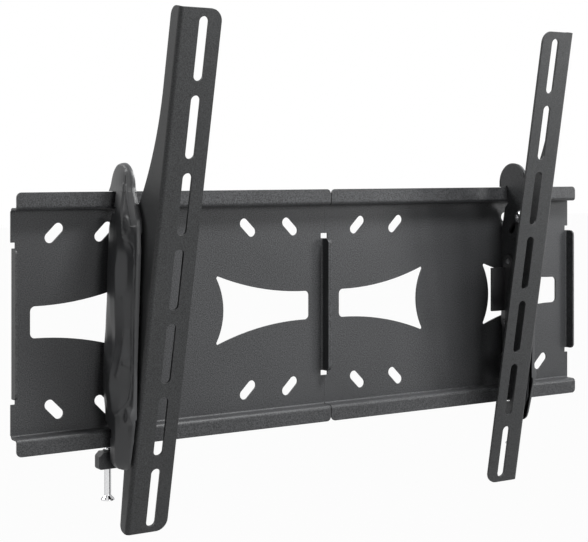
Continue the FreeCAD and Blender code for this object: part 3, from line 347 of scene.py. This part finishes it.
coverLines = {
    # raised or sunk lines over the hump: points as (reach, height), rise, half width
    "lip": ([
        (33.5, 120), (35.5, 107.5), (37.5, 95.4), (40, 86), (41.6, 73), (43.4, 70.6), (47.5, 69.6),
        (51.5, 66.8), (54.2, 62.4), (54, 57), (53.2, 33), (51.8, 10), (49, -24), (47, -50),
        (45.8, -66), (43.2, -74), (39, -79.4), (33.5, -81.5),
    ], 0.8, 0.7),
    "frontRidge": ([
        (39, 119), (43.5, 107.5), (49.5, 95.4), (54, 85),
    ], 0.7, 0.7),
    "cup": ([
        (42, 83.2), (48, 80), (51.5, 83.6), (57.6, 83.4),
    ], 0.9, 0.7),
    "strip": ([
        (56.2, 60), (55.2, 33), (53.8, 10), (51.2, -24), (49.2, -50), (47.6, -68),
    ], -0.45, 0.45),
    "slot": ([
        (36.6, 120.8), (36.6, 127),
    ], -1.4, 0.6),
    "diagonal": ([
        (44.5, -8), (42, -20), (39, -34), (34, -48),
    ], 1, 1.9),
}
coverRoom = [
    # what moves or sits under the cover: its way as (reach, height), radius, least rise over it
    ([(21, 68), (33, 76.2), (43.5, 85.7)], 6.4, 6.5),
    ([(21, 68), (33, 76.2), (43.5, 85.7)], 3.4, 7.2),
    ([(43, -81.4), (41, -80), (26.5, -70.6), (11, -60)], 6.4, 6.5),
    ([(43, -81.4), (41, -80), (26.5, -70.6), (11, -60)], 3.4, 7.2),
    ([(39.9, 20), (40.1, 20)], 2.3, 8.1),
    ([(39.9, -35), (40.1, -35)], 2.3, 8.1),
]


def easedAlong(heights, rows, values, spread=1.6):
    # a value given at some heights, laid over all rows with its corners eased
    out = np.zeros(len(rows))
    total = 0
    for step in np.linspace(-2, 2, 9):
        weight = math.exp(-step * step / 2)
        out += weight * np.interp(rows + step * spread, heights, values)
        total += weight
    return out / total


def distanceToLine(across, up, points):
    # from each grid point to a line of straight pieces
    best = np.full(across.shape, 1e9)
    for (a, b), (c, d) in zip(points, points[1:]):
        run, climb = c - a, d - b
        share = np.clip(((across - a) * run + (up - b) * climb) / (run * run + climb * climb), 0, 1)
        best = np.minimum(best, np.hypot(across - a - share * run, up - b - share * climb))
    return best


def tongueHalf(height):
    # half width of the tongue's rounded top
    radius = (cover["topFront"] - cover["topRear"]) / 2
    return math.sqrt(max(radius ** 2 - max(height - cover["shoulderHeight"], 0) ** 2, 0))


def coverRows():
    top = cover["shoulderHeight"] + (cover["topFront"] - cover["topRear"]) / 2
    span, count = cover["topSpan"], cover["topRows"]
    rows = list(np.arange(cover["bottom"], top - span, cover["rowStep"]))
    rows += [top - span * (1 - k / count) ** 2 for k in range(count + 1)]
    rows += [cover["seatHeight"] - cover["seatStep"], cover["seatHeight"] + cover["seatStep"]]
    return np.array(sorted(set(round(r, 4) for r in rows)))


def coverPoints():
    rows = coverRows()
    middle = (cover["topFront"] + cover["topRear"]) / 2
    heights = np.array([row[0] for row in reversed(coverForm)])
    form = list(reversed(coverForm))
    rear = np.interp(rows, *zip(*coverRear))
    front = np.interp(rows, *zip(*coverFront))
    half = np.array([tongueHalf(r) for r in rows])
    onTongue = rows > cover["seatHeight"]
    rear = np.where(onTongue, middle - half, rear)
    front = np.where(rows > cover["shoulderHeight"], middle + half, front)
    rearRise = easedAlong(heights, rows, [row[1] for row in form])
    frontRise = easedAlong(heights, rows, [row[-1] for row in form])
    knots = [(easedAlong(heights, rows, [row[k][0] for row in form]),
              easedAlong(heights, rows, [row[k][1] for row in form])) for k in range(2, 9)]
    count = cover["columns"]
    share = np.linspace(0, 1, count)
    across = rear[:, None] + (front - rear)[:, None] * share[None, :]
    rise = np.zeros_like(across)
    for i in range(len(rows)):
        reaches = [rear[i]] + [k[0][i] for k in knots] + [front[i]]
        rises = [rearRise[i]] + [k[1][i] for k in knots] + [frontRise[i]]
        first, last = rear[i] + cover["knotMargin"], front[i] - cover["knotMargin"]
        inside = [(u, t) for u, t in zip(reaches[1:-1], rises[1:-1]) if first < u < last]
        line = [(rear[i], rises[0])] + inside + [(front[i], rises[-1])]
        spot, high = zip(*line)
        eased = [np.interp(across[i] + d, spot, high) for d in cover["knotEase"]]
        rise[i] = sum(eased) / len(eased)
    up = np.repeat(rows[:, None], count, axis=1)
    for points, height, spread in coverLines.values():
        rise += height * np.exp(-(distanceToLine(across, up, points) / spread) ** 2)
    for way, radius, least in coverRoom:
        need = least - cover["roomSlope"] * np.maximum(distanceToLine(across, up, way) - radius, 0)
        # the higher of both, with the crease eased
        rise = (rise + need + np.sqrt((rise - need) ** 2 + cover["roomEase"] ** 2)) / 2
    # the foot's lower edge and the tongue's rim roll over
    low = np.clip((rows - cover["bottom"]) / cover["footRound"], 0, 1)
    rise *= (cover["footShare"] + (1 - cover["footShare"]) * np.sqrt(1 - (1 - low) ** 2))[:, None]
    lip = np.where(onTongue, -cover["tongueLip"], 0.0)
    frontLip = np.where(rows > cover["lipBottom"], -cover["lip"], 0.0)
    frontLip = np.where(onTongue, -cover["tongueLip"], frontLip)
    domed = np.clip((rows - cover["seatHeight"]) / cover["domeSpan"], 0, 1)
    edgeSoft, corner = cover["edgeSoft"], cover["edgeShare"]
    soft = np.minimum(edgeSoft + cover["domeSoft"] * domed, (front - rear) / 4)
    edge = np.minimum(edgeSoft, rise[:, 0] * 0.5) + cover["domeEdge"] * domed
    frontEdge = np.minimum(edgeSoft, rise[:, -1] * 0.5) + cover["domeEdge"] * domed
    inset = soft[:, None] / np.maximum(front - rear, cover["narrowest"])[:, None]
    across = rear[:, None] + (front - rear)[:, None] * (inset + (1 - 2 * inset) * share[None, :])
    columns = [np.stack([rear, lip], 1), np.stack([rear, rise[:, 0] - edge], 1),
               np.stack([rear + soft * corner, rise[:, 0] - edge * corner], 1)]
    columns += [np.stack([across[:, k], rise[:, k]], 1) for k in range(count)]
    columns += [np.stack([front - soft * corner, rise[:, -1] - frontEdge * corner], 1),
                np.stack([front, rise[:, -1] - frontEdge], 1), np.stack([front, frontLip], 1)]
    points = np.stack(columns, 1)
    crown = np.sqrt(1 - np.clip((rows - rows[-1] + cover["crown"]) / cover["crown"], 0, 1) ** 2)
    points[:, :, 1] = (points[:, :, 1] + cover["tongueLip"]) * crown[:, None] - cover["tongueLip"]
    return rows, points


def makeCover(side):
    sign = -1 if side == "left" else 1
    rows, points = coverPoints()
    high, wide = points.shape[:2]
    deselectAll()
    bpy.ops.mesh.primitive_grid_add(x_subdivisions=wide - 1, y_subdivisions=high - 1, size=1)
    piece = bpy.context.object
    piece.name = "cover_" + side
    # the grid's vertices run along its rows; mm here, metres in the mesh
    place = np.zeros((high, wide, 3))
    place[:, :, 0] = sign * (cover["plateFace"] + points[:, :, 1])
    place[:, :, 1] = -points[:, :, 0]
    place[:, :, 2] = rows[:, None]
    piece.data.vertices.foreach_set("co", (place / 1000).reshape(-1))
    bpy.ops.object.mode_set(mode="EDIT")
    bpy.ops.mesh.select_all(action="SELECT")
    bpy.ops.mesh.remove_doubles(threshold=finish["weld"])
    bpy.ops.mesh.select_all(action="SELECT")
    bpy.ops.mesh.normals_make_consistent(inside=False)
    bpy.ops.object.mode_set(mode="OBJECT")
    outward = sum(face.normal.x * face.area for face in piece.data.polygons) * sign
    if outward < 0:
        bpy.ops.object.mode_set(mode="EDIT")
        bpy.ops.mesh.select_all(action="SELECT")
        bpy.ops.mesh.flip_normals()
        bpy.ops.object.mode_set(mode="OBJECT")
    wall = piece.modifiers.new("wall", "SOLIDIFY")
    wall.thickness = cover["wall"] / 1000
    wall.offset = -1
    bpy.ops.object.modifier_apply(modifier=wall.name)
    bpy.ops.object.shade_smooth_by_angle(angle=math.radians(cover["smoothAngle"]))
    paint(piece, coverPlastic)
    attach(piece, "hook_" + side)
    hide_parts("side_cover_" + side)


# Carried-over metal, with softened edges

nodeFinishes = {
    "tv_arm": ("arm", armCoat, "arm_black"),
    "hook_plate": ("hook", plateCoat, "plate_black"),
    "side_plate": ("hook", plateCoat, "plate_black"),
    "rest_pad": ("hook", padPlastic, "pad_black"),
    "lock_block": ("hook", plateCoat, "plate_black"),
    "upper_tilt_screw": ("arm", brightZinc, "screw_bright"),
    "lower_tilt_screw": ("arm", greyZinc, "screw_grey"),
    "lock_screw": ("lock", brightZinc, "screw_bright"),
}
plainFinishes = {
    "upper_friction_washer": padPlastic,
    "lower_spacer_washer": greyZinc,
    "upper_washer": greyZinc,
    "upper_nut": greyZinc,
    "lower_washer": greyZinc,
    "lower_nut": greyZinc,
    "cover_screws": greyZinc,
    "pad_screws": brightZinc,
}
for side in sides:
    dress("wall_panel_" + side, "wall_plate", panelCoat)
    for node, (body, material, slotName) in nodeFinishes.items():
        dress(node + "_" + side, body + "_" + side, material)
    for node, material in plainFinishes.items():
        paint(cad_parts[node + "_" + side], material)
print("metal dressed")
for side in sides:
    makeCover(side)
print("covers made")


# Floor, light and camera

def directRays(nodes, links, path):
    # one for rays from the camera and for those off shiny surfaces
    clear = addNode(nodes, "ShaderNodeMath", operation="MAXIMUM")
    links.new(path.outputs["Is Camera Ray"], clear.inputs[0])
    links.new(path.outputs["Is Transmission Ray"], clear.inputs[1])
    both = addNode(nodes, "ShaderNodeMath", operation="MAXIMUM")
    links.new(clear.outputs[0], both.inputs[0])
    links.new(path.outputs["Is Glossy Ray"], both.inputs[1])
    return both.outputs[0]


stage = {
    "floorSize": 60,
    "floorHeight": -1.3,
    "floorShade": 0.8,
    "floorRoughness": 0.9,
    "floorGlow": 0.97,       # how much of the floor shows as plain white
    "worldLight": 0.09,
}


def makeFloor():
    bpy.ops.mesh.primitive_plane_add(size=stage["floorSize"], location=(0, 0, stage["floorHeight"]))
    floor = bpy.context.object
    floor.name = "floor"
    material, nodes, links, shader = newMaterial("paleFloor")
    shader.inputs["Base Color"].default_value = (*[stage["floorShade"]] * 3, 1)
    shader.inputs["Roughness"].default_value = stage["floorRoughness"]
    glow = addNode(nodes, "ShaderNodeEmission", Color=(1, 1, 1, 1), Strength=1.0)
    mix = addNode(nodes, "ShaderNodeMixShader")
    path = addNode(nodes, "ShaderNodeLightPath")
    seen = addNode(nodes, "ShaderNodeMath", operation="MULTIPLY")
    seen.inputs[1].default_value = stage["floorGlow"]
    links.new(directRays(nodes, links, path), seen.inputs[0])
    links.new(seen.outputs[0], mix.inputs["Fac"])
    links.new(shader.outputs[0], mix.inputs[1])
    links.new(glow.outputs[0], mix.inputs[2])
    links.new(mix.outputs[0], nodes["Material Output"].inputs["Surface"])
    floor.data.materials.append(material)


def makeWorld():
    world = bpy.data.worlds.new("studio")
    bpy.context.scene.world = world
    world.use_nodes = True
    nodes, links = world.node_tree.nodes, world.node_tree.links
    back = nodes["Background"]
    back.inputs["Color"].default_value = (1, 1, 1, 1)
    back.inputs["Strength"].default_value = stage["worldLight"]
    white = addNode(nodes, "ShaderNodeBackground", Strength=1.0)
    white.inputs["Color"].default_value = (1, 1, 1, 1)
    mix = addNode(nodes, "ShaderNodeMixShader")
    path = addNode(nodes, "ShaderNodeLightPath")
    links.new(directRays(nodes, links, path), mix.inputs["Fac"])
    links.new(back.outputs[0], mix.inputs[1])
    links.new(white.outputs[0], mix.inputs[2])
    links.new(mix.outputs[0], nodes["World Output"].inputs["Surface"])


lamps = {
    # place, what it points at, size, power
    "topSoftbox": ((0.35, -0.66, 1.25), (0.05, 0, 0), 0.35, 34),
    "rightSoftbox": ((1.1, -0.9, 0.38), (0.07, 0, 0.05), 0.3, 8),
    "frontSoftbox": ((-0.15, -1.8, 0.35), (-0.1, 0, 0), 0.5, 9),
    "backSoftbox": ((-1.4, 1.2, 1.3), (-0.2, 0, 0.25), 0.7, 22),
}


def makeLamps():
    for name, (place, target, size, power) in lamps.items():
        data = bpy.data.lights.new(name, "AREA")
        data.energy = power
        data.size = size
        lamp = bpy.data.objects.new(name, data)
        bpy.context.scene.collection.objects.link(lamp)
        lamp.location = place
        lamp.rotation_euler = (Vector(target) - Vector(place)).to_track_quat("-Z", "Y").to_euler()


photoView = {
    "place": (-0.7777, -1.1585, 0.1364),
    "yaw": -32.693,
    "lens": 86.46,
    "shiftY": -0.179,
}


def makeCamera():
    data = bpy.data.cameras.new("camera")
    data.sensor_width = 36
    data.sensor_fit = "HORIZONTAL"
    data.lens = photoView["lens"]
    data.shift_y = photoView["shiftY"]
    data.clip_start = 0.01
    data.clip_end = 100
    camera = bpy.data.objects.new("camera", data)
    bpy.context.scene.collection.objects.link(camera)
    camera.location = photoView["place"]
    camera.rotation_euler = (math.radians(90), 0, math.radians(photoView["yaw"]))
    bpy.context.scene.camera = camera


deselectAll()
makeFloor()
makeWorld()
makeLamps()
makeCamera()
bpy.context.scene.view_settings.view_transform = "Standard"
print("stage set")
